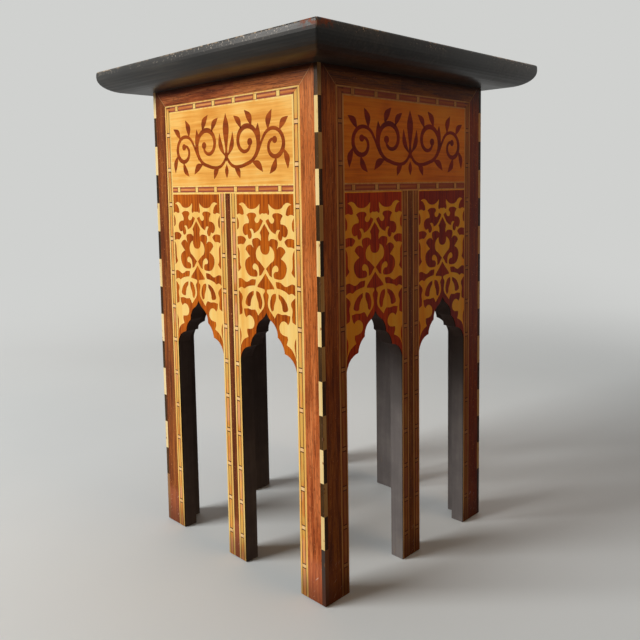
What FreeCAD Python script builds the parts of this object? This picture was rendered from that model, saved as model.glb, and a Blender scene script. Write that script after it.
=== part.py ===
import FreeCAD, Part
import Sketcher
import math
import os

# A square drinks table: four inlaid side boards mitred into an open box under an overhanging top.
# Millimetres, floor at height zero, vertical axis through the middle of the table.
# Every face is drawn once as the front face and turned about the vertical axis for the other three.

doc = FreeCAD.newDocument("DrinksTable")
sheet = doc.addObject("Spreadsheet::Sheet", "Sizes")

SIZES = [
    ("table_height", "520"),
    ("top_side", "350"),
    ("top_thickness", "24"),
    ("edge_drop", "17.8"),
    ("edge_run", "26"),
    ("top_arris", "1"),
    ("base_width", "260"),
    ("board_thickness", "14.8"),
    ("veneer_thickness", "1.2"),
    ("veneer_foot", "1"),
    ("chequer_width", "4.5"),
    ("stile_width", "18.3"),
    ("string_width", "10"),
    ("rail_string_width", "8.4"),
    ("line_width", "1.3"),
    ("rail_width", "17"),
    ("frieze_height", "78.6"),
    ("centre_strip_width", "7.8"),
    ("arch_spring", "217"),
    ("arch_rise", "52"),
    ("block_side", "22"),
    ("block_height", "120"),
    ("cleat_width", "18"),
    ("cleat_depth", "20"),
    ("cleat_length", "150"),
    ("base_height", "=table_height - top_thickness"),
    ("half_width", "=base_width / 2"),
    ("core_face", "=half_width - veneer_thickness"),
    ("inner_face", "=core_face - board_thickness"),
    ("chequer_edge", "=half_width - chequer_width"),
    ("frame_edge", "=chequer_edge - stile_width"),
    ("field_edge", "=frame_edge - string_width"),
    ("strip_edge", "=centre_strip_width / 2"),
    ("leg_edge", "=strip_edge + string_width"),
    ("frame_top", "=base_height - rail_width"),
    ("field_top", "=frame_top - rail_string_width"),
    ("frieze_bottom", "=field_top - frieze_height"),
    ("rail_bottom", "=frieze_bottom - rail_string_width"),
    ("bay_axis", "=(field_edge + leg_edge) / 2"),
    ("bay_half", "=(field_edge - leg_edge) / 2"),
    ("chequer_pitch", "=(base_height - veneer_foot) / 15.6"),
    ("edge_radius", "=(edge_run * edge_run + edge_drop * edge_drop) / (2 * edge_drop)"),
]
for row, (name, content) in enumerate(SIZES, start=1):
    sheet.set("A%d" % row, name)
    sheet.set("B%d" % row, content)
    sheet.setAlias("B%d" % row, name)
doc.recompute()


def size(name):
    return float(getattr(sheet, name))


def cells(text):
    # Turns the plain names in a formula into references to the sheet.
    out = []
    word = ""
    for letter in text + " ":
        if letter.isalnum() or letter == "_" or letter == ".":
            word += letter
            continue
        if word and word[0].isalpha():
            word = "Sizes." + word
        out.append(word + letter)
        word = ""
    return "".join(out).strip()


probe = doc.addObject("Part::Box", "Probe")


def value(text):
    # Works out a formula of sheet names.
    return float(probe.evalExpression(cells(text)))


def plane_sketch(body, plane, offset):
    sketch = body.newObject("Sketcher::SketchObject", body.Name + "_outline")
    for feature in body.Origin.OriginFeatures:
        if feature.Name.startswith(plane) or feature.Role == plane:
            sketch.AttachmentSupport = [(feature, "")]
    sketch.MapMode = "FlatFace"
    if offset:
        sketch.setExpression("AttachmentOffset.Base.z", cells(offset))
    return sketch


def draw(sketch, corners):
    # Closed outline: each corner is (across, up) in sheet names, or (across, up, radius, side)
    # where an arc of that radius leads on to the next corner, bulging to that side.
    points = [FreeCAD.Vector(value(c[0]), value(c[1]), 0) for c in corners]
    count = len(corners)
    ends = []
    for index in range(count):
        start = points[index]
        finish = points[(index + 1) % count]
        corner = corners[index]
        if len(corner) == 2:
            geo = sketch.addGeometry(Part.LineSegment(start, finish), False)
            ends.append((geo, 1, 2))
            continue
        radius = value(corner[2])
        chord = finish - start
        half = chord.Length / 2
        sagitta = radius - math.sqrt(radius * radius - half * half)
        left = FreeCAD.Vector(-chord.y, chord.x, 0).normalize()
        middle = (start + finish) * 0.5 + left * sagitta * corner[3]
        if corner[3] < 0:
            geo = sketch.addGeometry(Part.ArcOfCircle(start, middle, finish), False)
            ends.append((geo, 1, 2))
        else:
            geo = sketch.addGeometry(Part.ArcOfCircle(finish, middle, start), False)
            ends.append((geo, 2, 1))
        number = sketch.addConstraint(Sketcher.Constraint("Radius", geo, radius))
        sketch.setExpression("Constraints[%d]" % number, cells(corner[2]))
    for index in range(count):
        geo, begin, end = ends[index]
        after = ends[(index + 1) % count]
        sketch.addConstraint(Sketcher.Constraint("Coincident", geo, end, after[0], after[1]))
    for index in range(count):
        geo, begin, end = ends[index]
        across = sketch.addConstraint(Sketcher.Constraint("DistanceX", geo, begin, points[index].x))
        up = sketch.addConstraint(Sketcher.Constraint("DistanceY", geo, begin, points[index].y))
        sketch.setExpression("Constraints[%d]" % across, cells(corners[index][0]))
        sketch.setExpression("Constraints[%d]" % up, cells(corners[index][1]))


def pad_body(name, plane, offset, corners, length):
    body = doc.addObject("PartDesign::Body", name)
    sketch = plane_sketch(body, plane, offset)
    draw(sketch, corners)
    pad = body.newObject("PartDesign::Pad", name + "_pad")
    pad.Profile = sketch
    pad.setExpression("Length", cells(length))
    body.Tip = pad
    return body


def veneer(name, corners):
    # A flat piece of the front face, from the board's face out to the finished face.
    return pad_body(name, "XZ_Plane", "core_face", corners, "veneer_thickness")


def oblong(low_x, high_x, low_z, high_z):
    return [(low_x, low_z), (high_x, low_z), (high_x, high_z), (low_x, high_z)]


def mirror(name, source):
    twin = doc.addObject("Part::Mirroring", name)
    twin.Source = source
    twin.Normal = FreeCAD.Vector(1, 0, 0)
    return twin


def both_sides(name, corners):
    right = veneer(name, corners)
    return [right, mirror(name + "_twin", right)]


# Top board: the moulded section run along both directions, so the edge is mitred at the corners.
half_top = "top_side / 2"
top_section = [
    ("-top_side / 2 + edge_run", "base_height"),
    ("top_side / 2 - edge_run", "base_height", "edge_radius", -1),
    (half_top, "base_height + edge_drop"),
    (half_top, "table_height - top_arris"),
    ("top_side / 2 - top_arris", "table_height"),
    ("-top_side / 2 + top_arris", "table_height"),
    ("-top_side / 2", "table_height - top_arris"),
    ("-top_side / 2", "base_height + edge_drop", "edge_radius", -1),
]
run_along_y = pad_body("top_run_y", "XZ_Plane", None, top_section, "top_side")
run_along_x = pad_body("top_run_x", "YZ_Plane", None, top_section, "top_side")
for run in (run_along_y, run_along_x):
    run.Tip.SideType = "Symmetric"
top_board = doc.addObject("Part::Common", "top_board")
top_board.Label = "top_board"
top_board.Base = run_along_y
top_board.Tool = run_along_x

# The cusped ogee arch: distance from the arch's axis and height above the springing,
# as shares of the half width and the rise, from the springing up to the point.
ARCH = [
    (1.0, 0.0, 0.445),
    (0.61, 0.288, 0.46),
    (0.382, 0.565, 0.36),
    (0.205, 0.832, -0.46),
]


def arch_corners():
    corners = []
    for across, rise, radius in ARCH:
        corners.append(("bay_axis + bay_half * %s" % across, "arch_spring + arch_rise * %s" % rise, radius))
    corners.append(("bay_axis", "arch_spring + arch_rise", None))
    for across, rise, radius in reversed(ARCH):
        corners.append(("bay_axis - bay_half * %s" % across, "arch_spring + arch_rise * %s" % rise, radius))
    outline = []
    for index, corner in enumerate(corners):
        if index < 4:
            radius = corner[2]
        elif index < 8:
            radius = corners[index + 1][2]
        else:
            outline.append(corner[:2])
            continue
        side = -1 if radius > 0 else 1
        outline.append((corner[0], corner[1], "bay_half * %s" % abs(radius), side))
    return outline


# Side board: mitred plan, two arches open to the floor.
board = pad_body(
    "board",
    "XY_Plane",
    None,
    [
        ("-core_face", "-core_face"),
        ("core_face", "-core_face"),
        ("inner_face", "-inner_face"),
        ("-inner_face", "-inner_face"),
    ],
    "base_height",
)
arch_sketch = plane_sketch(board, "XZ_Plane", None)
draw(arch_sketch, arch_corners() + [("leg_edge", "-10"), ("field_edge", "-10")])
arch_cut = board.newObject("PartDesign::Pocket", "arch_cut")
arch_cut.Profile = arch_sketch
arch_cut.Type = 1
arch_cut.Reversed = True
arch_pair = board.newObject("PartDesign::Mirrored", "arch_pair")
arch_pair.Originals = [arch_cut]
for feature in board.Origin.OriginFeatures:
    if feature.Role == "YZ_Plane":
        arch_pair.MirrorPlane = (feature, [""])
board.Tip = arch_pair

# Mahogany banding: rail and stiles mitred at the top corners, strip down the centre leg.
rail = veneer(
    "rail",
    [
        ("-frame_edge", "frame_top"),
        ("frame_edge", "frame_top"),
        ("chequer_edge", "base_height"),
        ("-chequer_edge", "base_height"),
    ],
)
stiles = both_sides(
    "stile",
    [
        ("frame_edge", "veneer_foot"),
        ("chequer_edge", "veneer_foot"),
        ("chequer_edge", "base_height"),
        ("frame_edge", "frame_top"),
    ],
)
centre_strip = veneer("centre_strip", oblong("-strip_edge", "strip_edge", "veneer_foot", "rail_bottom"))

# Stringing: two boxwood lines with a laminated core between them, mitred at the frame's corners.
frame_outer = both_sides(
    "frame_outer_line",
    [
        ("frame_edge - line_width", "veneer_foot"),
        ("frame_edge", "veneer_foot"),
        ("frame_edge", "frame_top"),
        ("frame_edge - line_width", "frame_top - line_width"),
    ],
)
frame_inner = both_sides(
    "frame_inner_line",
    [
        ("field_edge", "veneer_foot"),
        ("field_edge + line_width", "veneer_foot"),
        ("field_edge + line_width", "field_top + line_width"),
        ("field_edge", "field_top"),
    ],
)
top_outer = veneer(
    "top_outer_line",
    [
        ("-frame_edge + line_width", "frame_top - line_width"),
        ("frame_edge - line_width", "frame_top - line_width"),
        ("frame_edge", "frame_top"),
        ("-frame_edge", "frame_top"),
    ],
)
top_inner = veneer(
    "top_inner_line",
    [
        ("-field_edge", "field_top"),
        ("field_edge", "field_top"),
        ("field_edge + line_width", "field_top + line_width"),
        ("-field_edge - line_width", "field_top + line_width"),
    ],
)
low_line_top = "rail_bottom + line_width"
high_line_foot = "frieze_bottom - line_width"
rail_low = veneer("rail_low_line", oblong("-field_edge", "field_edge", "rail_bottom", low_line_top))
rail_high = veneer("rail_high_line", oblong("-field_edge", "field_edge", high_line_foot, "frieze_bottom"))
leg_outer = both_sides(
    "leg_outer_line", oblong("leg_edge - line_width", "leg_edge", "veneer_foot", "rail_bottom")
)
leg_inner = both_sides(
    "leg_inner_line", oblong("strip_edge", "strip_edge + line_width", "veneer_foot", "rail_bottom")
)
frame_core = both_sides(
    "frame_core",
    [
        ("field_edge + line_width", "veneer_foot"),
        ("frame_edge - line_width", "veneer_foot"),
        ("frame_edge - line_width", "frame_top - line_width"),
        ("field_edge + line_width", "field_top + line_width"),
    ],
)
top_core = veneer(
    "top_core",
    [
        ("-field_edge - line_width", "field_top + line_width"),
        ("field_edge + line_width", "field_top + line_width"),
        ("frame_edge - line_width", "frame_top - line_width"),
        ("-frame_edge + line_width", "frame_top - line_width"),
    ],
)
rail_core = veneer("rail_core", oblong("-field_edge", "field_edge", low_line_top, high_line_foot))
leg_core = both_sides(
    "leg_core",
    oblong("strip_edge + line_width", "leg_edge - line_width", "veneer_foot", "rail_bottom"),
)
frieze = veneer("frieze", oblong("-field_edge", "field_edge", "frieze_bottom", "field_top"))

# Spandrel over one arch, and the arabesque that is let into it.
spandrel = veneer("spandrel", arch_corners() + [("leg_edge", "rail_bottom"), ("field_edge", "rail_bottom")])

# One half of the arabesque, drawn in millimetres from the arch's axis and above the springing
# for a bay 40.5 wide to each side and 168 high. Each leaf is one sawn piece.
CARTOON_HALF = 40.5
CARTOON_HEIGHT = 168.0
LEAVES = [
    # horned crown leaf with the leaf below it
    [
        (37.4, 157.3), (21.1, 153.1), (6.1, 158.2), (7.4, 144.0), (11.6, 139.1), (14.2, 145.4),
        (23.9, 147.6), (22.1, 139.6), (30.8, 135.7), (24.1, 126.2), (39.5, 125.1), (38.1, 143.0),
        (30.0, 147.6),
    ],
    # arm from the bud with its small leaf and the crossing stems
    [
        (0.5, 139.5), (15.2, 129.6), (21.7, 132.9), (19.2, 126.2), (25.4, 117.5), (16.3, 114.6),
        (5.4, 121.8), (6.7, 129.6), (0.5, 136.5),
    ],
    # acanthus leaf turning into the volute
    [
        (39.0, 116.2), (35.6, 93.8), (27.8, 79.8), (11.7, 84.6), (8.8, 91.8), (14.8, 99.6),
        (18.6, 95.7), (12.8, 87.4), (23.3, 87.1), (28.9, 95.1), (21.4, 106.0),
    ],
    # stem, loop and bell
    [
        (0.6, 91.6), (15.4, 75.6), (15.9, 69.6), (22.2, 64.0), (22.2, 53.1), (16.7, 54.6),
        (12.2, 47.9), (3.0, 58.4), (1.4, 73.4), (11.7, 74.9), (0.6, 88.8),
    ],
    # leaf beside the arch with its round lobe
    [
        (17.2, 76.4), (38.3, 73.8), (39.2, 44.6), (39.4, 14.0), (27.8, 24.6), (29.4, 32.9),
        (21.0, 34.6), (18.4, 42.0), (33.3, 52.7), (26.7, 55.1), (30.0, 61.8), (17.2, 71.8),
    ],
]
# the cup on the axis, right half from top to foot
CUP = [(0.0, 109.0), (6.7, 117.6), (13.0, 110.7), (0.0, 94.0)]


def field_point(across, up):
    x = size("bay_axis") + across * size("bay_half") / CARTOON_HALF
    z = size("arch_spring") + up * (size("rail_bottom") - size("arch_spring")) / CARTOON_HEIGHT
    return FreeCAD.Vector(x, -size("core_face"), z)


def sawn(points):
    corners = [field_point(across, up) for across, up in points]
    face = Part.Face(Part.makePolygon(corners + corners[:1]))
    return face.extrude(FreeCAD.Vector(0, -size("veneer_thickness"), 0))


pieces = []
for leaf in LEAVES:
    pieces.append(sawn(leaf))
    pieces.append(sawn([(-across, up) for across, up in reversed(leaf)]))
pieces.append(sawn(CUP + [(-across, up) for across, up in reversed(CUP[1:-1])]))
figure = doc.addObject("Part::Feature", "figure")
figure.Shape = Part.makeCompound(pieces)
ground = doc.addObject("Part::Cut", "ground")
ground.Base = spandrel
ground.Tool = figure
inlay = doc.addObject("Part::Common", "inlay")
inlay.Base = spandrel
inlay.Tool = figure
grounds = [ground, mirror("ground_twin", ground)]
inlays = [inlay, mirror("inlay_twin", inlay)]

# Chequer blocks at both arrises of the face, mitred to the blocks of the next face.
light = []
dark = []
ROWS = 15


def chequer_block(name, row, right):
    block = doc.addObject("Part::Wedge", name)
    high = "base_height" if row == 0 else "base_height - chequer_pitch * %s" % (row - 0.12)
    low = "veneer_foot" if row == ROWS - 1 else "base_height - chequer_pitch * %s" % (row + 0.88)
    ends = ("chequer_edge", "half_width", "chequer_edge", "core_face")
    if not right:
        ends = ("-half_width", "-chequer_edge", "-core_face", "-chequer_edge")
    for prop, text in zip(("Xmin", "Xmax", "X2min", "X2max"), ends):
        block.setExpression(prop, cells(text))
    block.setExpression("Ymin", cells("-half_width"))
    block.setExpression("Ymax", cells("-core_face"))
    for prop, text in (("Zmin", low), ("Z2min", low), ("Zmax", high), ("Z2max", high)):
        block.setExpression(prop, cells(text))
    return block


for row in range(ROWS):
    left_block = chequer_block("chequer_left_%d" % row, row, False)
    right_block = chequer_block("chequer_right_%d" % row, row, True)
    if row % 2 == 0:
        light.append(left_block)
        dark.append(right_block)
    else:
        dark.append(left_block)
        light.append(right_block)

# Glue block in the inner corner at the right end of the front board.
corner = pad_body(
    "corner",
    "XY_Plane",
    "base_height - block_height",
    [
        ("inner_face - block_side", "-inner_face"),
        ("inner_face", "-inner_face"),
        ("inner_face", "-inner_face + block_side"),
    ],
    "block_height",
)

# Cleat along the inside of the board, rubbed in with glue under the top.
cleat = doc.addObject("Part::Box", "cleat")
cleat.setExpression("Length", cells("cleat_length"))
cleat.setExpression("Width", cells("cleat_width"))
cleat.setExpression("Height", cells("cleat_depth"))
cleat.setExpression("Placement.Base.x", cells("-cleat_length / 2"))
cleat.setExpression("Placement.Base.y", cells("-inner_face"))
cleat.setExpression("Placement.Base.z", cells("base_height - cleat_depth"))

# The four faces: the same pieces turned about the vertical axis.
exported = [top_board]


def node(name, pieces, turn):
    group = doc.addObject("Part::Compound", name)
    group.Label = name
    group.Links = pieces
    group.Placement = FreeCAD.Placement(
        FreeCAD.Vector(0, 0, 0), FreeCAD.Rotation(FreeCAD.Vector(0, 0, 1), turn)
    )
    return group


banding = [rail, centre_strip] + stiles
lines = [top_outer, top_inner, rail_low, rail_high] + frame_outer + frame_inner + leg_outer + leg_inner
cores = [top_core, rail_core] + frame_core + leg_core
FACES = [("front", 0), ("right", 90), ("back", 180), ("left", 270)]
for face, turn in FACES:
    exported.append(node("side_board_" + face, [board], turn))
    exported.append(node("border_banding_" + face, banding, turn))
    exported.append(node("string_lines_" + face, lines, turn))
    exported.append(node("string_cores_" + face, cores, turn))
    exported.append(node("frieze_panel_" + face, [frieze], turn))
    exported.append(node("spandrel_ground_" + face, grounds, turn))
    exported.append(node("spandrel_arabesque_" + face, inlays, turn))
    exported.append(node("chequer_light_" + face, light, turn))
    exported.append(node("chequer_dark_" + face, dark, turn))
    exported.append(node("corner_block_" + face, [corner], turn))
    exported.append(node("top_cleat_" + face, [cleat], turn))

doc.removeObject("Probe")
doc.recompute()

for item in doc.Objects:
    if "Invalid" in item.State or "Error" in item.State:
        raise RuntimeError("broken piece: " + item.Label)
os.makedirs("parts", exist_ok=True)
for item in exported:
    if item.Shape.isNull() or not item.Shape.isValid() or not item.Shape.Solids:
        raise RuntimeError("bad shape: " + item.Label)
    item.Shape.exportStep("parts/" + item.Label + ".step")
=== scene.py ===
import bpy
import bmesh
import math
from mathutils import Matrix, Vector


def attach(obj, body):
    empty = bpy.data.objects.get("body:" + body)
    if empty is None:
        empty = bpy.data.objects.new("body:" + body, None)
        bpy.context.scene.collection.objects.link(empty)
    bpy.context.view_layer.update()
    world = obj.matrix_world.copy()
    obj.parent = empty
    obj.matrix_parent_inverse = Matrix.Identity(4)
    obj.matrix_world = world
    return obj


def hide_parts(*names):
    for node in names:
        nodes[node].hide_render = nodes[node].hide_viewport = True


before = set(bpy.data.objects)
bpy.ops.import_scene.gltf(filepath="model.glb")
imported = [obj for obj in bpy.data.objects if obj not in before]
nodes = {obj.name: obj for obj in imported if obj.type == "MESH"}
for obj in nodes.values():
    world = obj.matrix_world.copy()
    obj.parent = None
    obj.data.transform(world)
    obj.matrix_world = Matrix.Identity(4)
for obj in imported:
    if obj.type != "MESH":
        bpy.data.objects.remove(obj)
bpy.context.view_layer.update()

# Sizes of the face, in metres, as the solids have them
FACE = 0.130
CORE_FACE = 0.1288
BASE_HEIGHT = 0.496
TABLE_HEIGHT = 0.520
TOP_HALF = 0.175
FRAME_EDGE = 0.1072
FIELD_EDGE = 0.0972
LEG_EDGE = 0.0139
STRIP_EDGE = 0.0039
FRAME_TOP = 0.479
FIELD_TOP = 0.4706
FRIEZE_BOTTOM = 0.392
RAIL_BOTTOM = 0.3836
FOOT = 0.001
LAST_BLOCK = 0.0556
ARCH_SPRING = 0.217
ARCH_RISE = 0.052
BAY_AXIS = (FIELD_EDGE + LEG_EDGE) / 2
BAY_HALF = (FIELD_EDGE - LEG_EDGE) / 2
# Each face's name, its turn from the front in degrees, and the axis along it
FACES = (("front", 0, "x"), ("right", 90, "y"), ("back", 180, "x"), ("left", 270, "y"))


# Shader maths: a wrapped socket that adds nodes when values are combined
class Wire:
    def __init__(self, graph, socket):
        self.graph = graph
        self.socket = socket

    def __add__(self, other):
        return self.graph.math("ADD", self, other)

    def __radd__(self, other):
        return self.graph.math("ADD", other, self)

    def __sub__(self, other):
        return self.graph.math("SUBTRACT", self, other)

    def __rsub__(self, other):
        return self.graph.math("SUBTRACT", other, self)

    def __mul__(self, other):
        return self.graph.math("MULTIPLY", self, other)

    def __rmul__(self, other):
        return self.graph.math("MULTIPLY", other, self)

    def __gt__(self, other):
        return self.graph.math("GREATER_THAN", self, other)

    def __lt__(self, other):
        return self.graph.math("LESS_THAN", self, other)

    def __abs__(self):
        return self.graph.math("ABSOLUTE", self)


class Graph:
    def __init__(self, tree):
        self.tree = tree
        tree.nodes.clear()

    def feed(self, socket, value):
        if isinstance(value, Wire):
            self.tree.links.new(value.socket, socket)
        elif socket.type == "RGBA":
            socket.default_value = (*value, 1.0)
        else:
            socket.default_value = value

    def node(self, kind, settings=None, inputs=None, output=0):
        made = self.tree.nodes.new(kind)
        for key, value in (settings or {}).items():
            if key == "stops":
                ramp = made.color_ramp
                while len(ramp.elements) < len(value):
                    ramp.elements.new(0.5)
                for element, (place, colour) in zip(ramp.elements, value):
                    element.position = place
                    element.color = (*colour, 1.0)
            else:
                setattr(made, key, value)
        for key, value in (inputs or {}).items():
            self.feed(made.inputs[key], value)
        if made.outputs:
            return Wire(self, made.outputs[output])

    def math(self, operation, first, second=0.0):
        return self.node("ShaderNodeMath", {"operation": operation}, {0: first, 1: second})

    def rise(self, value, low, high):
        # Nought below low and one above high, with a smooth rise between.
        settings = {"interpolation_type": "SMOOTHSTEP"}
        inputs = {"Value": value, "From Min": low, "From Max": high}
        return self.node("ShaderNodeMapRange", settings, inputs)

    def point(self, x, y, z):
        return self.node("ShaderNodeCombineXYZ", None, {0: x, 1: y, 2: z})

    def noise(self, place, scale, detail=3.0, rough=0.55):
        inputs = {"Vector": place, "Scale": scale, "Detail": detail, "Roughness": rough}
        return self.node("ShaderNodeTexNoise", None, inputs)

    def drawn(self, x, y, z, detail=2.0, rough=0.5):
        # A noise stretched by the scale that each coordinate was given.
        return self.noise(self.point(x, y, z), 1.0, detail, rough)

    def ramp(self, value, tones, middle=0.5):
        # From the dark tone to the light one, with the third at its own place between.
        stops = list(zip((0.0, middle, 1.0), tones))
        return self.node("ShaderNodeValToRGB", {"stops": stops}, {0: value})

    def mix(self, mask, first, second):
        return self.node("ShaderNodeMix", {"data_type": "RGBA"}, {0: mask, 6: first, 7: second}, 2)

    def bump(self, height, strength, distance):
        inputs = {"Height": height, "Strength": strength, "Distance": distance}
        return self.node("ShaderNodeBump", None, inputs)

    def seen_rays(self):
        # One where the camera, a reflection or a clear material looks, nought where light only bounces.
        names = ("Is Camera Ray", "Is Glossy Ray", "Is Transmission Ray")
        camera, glossy, clear = (self.node("ShaderNodeLightPath", output=name) for name in names)
        return self.math("MINIMUM", camera + glossy + clear, 1.0)


class Finish(Graph):
    def __init__(self, name):
        self.material = bpy.data.materials.new(name)
        self.material.use_nodes = True
        super().__init__(self.material.node_tree)
        self.place = self.node("ShaderNodeTexCoord", output="Object")
        axes = (self.node("ShaderNodeSeparateXYZ", None, {0: self.place}, axis) for axis in range(3))
        self.x, self.y, self.z = axes

    def surface(self, colour, rough, **others):
        # Underscores stand for the spaces in the shader's socket names.
        inputs = {"Base Color": colour, "Roughness": rough}
        inputs.update({key.replace("_", " "): value for key, value in others.items()})
        return self.node("ShaderNodeBsdfPrincipled", None, inputs)

    def done(self, shader):
        self.node("ShaderNodeOutputMaterial", None, {"Surface": shader})
        return self.material


def srgb(red, green, blue):
    channels = []
    for value in (red, green, blue):
        value = value / 255.0
        channels.append(value / 12.92 if value <= 0.04045 else ((value + 0.055) / 1.055) ** 2.4)
    return tuple(channels)


PORE_DRAW = 0.022


def grain(graph, along, across, depth, fine, streak, draw=0.05):
    # Long fibres: a noise drawn out along the grain, and finer pores in the same direction.
    broad = graph.drawn(across * streak, along * (streak * draw), depth * 7.0, 4.0, 0.6)
    pores = graph.drawn(across * fine, along * (fine * PORE_DRAW), depth * 11.0)
    return broad, pores


VENEER_GLOSS = {"Coat_Weight": 0.05, "Coat_Roughness": 0.12, "Specular_IOR_Level": 0.05}
FOOT_DIRT = srgb(84, 42, 24)
EDGE_BLACK = srgb(58, 40, 30)
EDGE_DEPTH = 0.00015
PORE_SHADE = 0.45
GRAIN_BUMP = 0.0004
# How far up from the floor each kind of wear reaches
DIRT_TOP = 0.036
BANDING_DIRT_TOP = 0.030
KNOCKED_TOP = 0.046
WORN_TOP = 0.014
SCUFF_TOP = 0.07


def wood(
    name, along, across, tones, streak=60.0, fine=900.0, rough=0.33, pore_depth=0.3, patch=0.25, draw=0.05,
    drift=None, far=None, level_tint=None, stain=None, chips=None, outward=None,
):
    # A polished wood: streaks between three tones, dark pores, cloudy patches and uneven polish.
    # Drift gives two tones that it wanders to along the grain, far a painted shade tone that darkens the
    # face's other half, level_tint a tone for level runs between the stiles, stain the tone of the lowest
    # chequer, and chips the tone of knocks along the arris.
    # Outward is the way out of the face, where the veneer's cut edges are blackened.
    graph = Finish(name)
    pick = {"x": graph.x, "y": graph.y, "z": graph.z}
    depth = graph.x + graph.y + graph.z * 0.03
    run = pick[along]
    side = pick[across]
    broad, pores = grain(graph, run, side, depth, fine, streak, draw)
    cloud = graph.noise(graph.place, 18.0)
    shade = graph.rise(broad * (1.0 - patch) + cloud * patch, 0.30, 0.70)
    colour = graph.ramp(shade, tones)
    pore_mask = graph.rise(pores, 0.52, 0.68) * pore_depth
    colour = graph.mix(pore_mask, colour, tuple(channel * PORE_SHADE for channel in tones[0]))
    if drift:
        wander = graph.drawn(side * 120.0, run * 34.0, depth * 3.0)
        colour = graph.mix(graph.rise(wander, 0.50, 0.64) * 0.75, colour, drift[0])
        colour = graph.mix(graph.rise(1.0 - wander, 0.50, 0.64) * 0.75, colour, drift[1])
    # Painted shade: the face's other half darkens towards the far tone.
    if far:
        colour = graph.mix(graph.rise(side, 0.0, 0.03) * 0.5, colour, far)
    if level_tint:
        between = (abs(side) < FIELD_EDGE) * (graph.z > RAIL_BOTTOM)
        colour = graph.mix(between * (0.55 + cloud * 0.5), colour, level_tint)
    if stain:
        low = (graph.z < LAST_BLOCK) * (0.7 + cloud * 0.3)
        colour = graph.mix(low, colour, stain)
    if chips:
        reach = graph.math("MINIMUM", abs(graph.x), abs(graph.y))
        arris = graph.rise(reach, FACE - 0.0022, FACE - 0.0006)
        knocks = graph.noise(graph.place, 85.0, 3.0, 0.6)
        colour = graph.mix(arris * graph.rise(knocks, 0.57, 0.62) * 0.85, colour, chips)
    dirt = graph.rise(DIRT_TOP - graph.z, 0.0, 0.032) * (0.25 + cloud * 0.7)
    colour = graph.mix(dirt, colour, FOOT_DIRT)
    if outward:
        edge = (FACE - abs(pick[outward])) > EDGE_DEPTH
        colour = graph.mix(edge, colour, EDGE_BLACK)
    polish = graph.noise(graph.place, 9.0, 2.0, 0.5)
    scuff = graph.noise(graph.place, 160.0, 3.0, 0.6)
    roughness = rough + (polish - 0.5) * 0.16 + (scuff - 0.5) * 0.12
    normal = graph.bump(pores * 0.6 + broad * 0.4, 0.12, GRAIN_BUMP)
    return graph.done(graph.surface(colour, roughness, Normal=normal, **VENEER_GLOSS))


# Tones of the veneers, each dark, middle and light. The sides' tones are painted shade: darker, redder copies
# of the front and back's.
MAHOGANY_LIGHT = (srgb(146, 68, 30), srgb(194, 102, 52), srgb(222, 136, 80))
EBONY = (srgb(38, 24, 10), srgb(64, 42, 16), srgb(92, 64, 30))
BAND_DARK = (srgb(58, 26, 12), srgb(82, 40, 20), srgb(104, 56, 32))
CORE_BROWN = (srgb(92, 42, 20), srgb(122, 62, 32), srgb(148, 84, 48))
CORE_PURPLE = srgb(168, 88, 64)
PINE = (srgb(150, 108, 62), srgb(178, 134, 82), srgb(196, 154, 102))
FRONT_TONES = {
    "banding": (srgb(92, 38, 6), srgb(136, 68, 22), srgb(170, 98, 40)),
    "ground": (srgb(132, 52, 2), srgb(186, 90, 8), srgb(212, 116, 22)),
    "ground_far_shade": None,
    "satin": (srgb(226, 150, 58), srgb(250, 188, 92), srgb(255, 214, 126)),
    "inlay": (srgb(246, 184, 86), srgb(255, 212, 120), srgb(255, 226, 146)),
    "vine": (srgb(116, 44, 6), srgb(156, 70, 12), srgb(176, 88, 24)),
    "line": (srgb(248, 188, 94), srgb(255, 216, 124), srgb(255, 228, 148)),
    "slip": (srgb(244, 184, 92), srgb(255, 210, 118), srgb(255, 224, 140)),
    "knuckle": (srgb(232, 174, 112), srgb(248, 202, 140), srgb(255, 220, 164)),
    "reed": (srgb(202, 120, 50), srgb(234, 160, 76), srgb(250, 190, 102)),
    "reed_drift": (srgb(230, 164, 120), srgb(226, 186, 94)),
    "level_reed": (srgb(190, 104, 48), srgb(224, 140, 74), srgb(242, 170, 102)),
    "holly": (srgb(230, 198, 128), srgb(246, 220, 156), srgb(252, 234, 186)),
    "ebony": EBONY,
    "band": BAND_DARK,
    "core": CORE_BROWN,
}
# Painted shade: the sides' tones, darker and redder than the front's
SHADED_SIDE_TONES = {
    "banding": (srgb(92, 44, 2), srgb(136, 76, 12), srgb(170, 106, 28)),
    "ground": (srgb(130, 30, 0), srgb(182, 58, 0), srgb(208, 80, 4)),
    # Painted shade: the tone that the far half of a side's ground darkens to
    "ground_far_shade": srgb(84, 6, 0),
    "satin": (srgb(200, 106, 22), srgb(230, 138, 36), srgb(242, 164, 56)),
    "inlay": (srgb(248, 162, 38), srgb(255, 192, 60), srgb(255, 208, 80)),
    "vine": (srgb(100, 24, 0), srgb(134, 38, 2), srgb(154, 50, 6)),
    "line": (srgb(196, 140, 76), srgb(214, 166, 102), srgb(224, 182, 122)),
    "slip": (srgb(150, 92, 46), srgb(180, 118, 64), srgb(200, 140, 84)),
    "knuckle": (srgb(158, 100, 52), srgb(184, 128, 72), srgb(204, 152, 96)),
    "reed": (srgb(140, 78, 34), srgb(172, 108, 54), srgb(198, 138, 78)),
    "reed_drift": (srgb(164, 98, 62), srgb(160, 112, 46)),
    "level_reed": (srgb(144, 74, 36), srgb(178, 102, 54), srgb(200, 128, 74)),
    "holly": (srgb(188, 150, 92), srgb(206, 172, 112), srgb(218, 190, 136)),
    "ebony": EBONY,
    "band": BAND_DARK,
    "core": CORE_BROWN,
}


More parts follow.
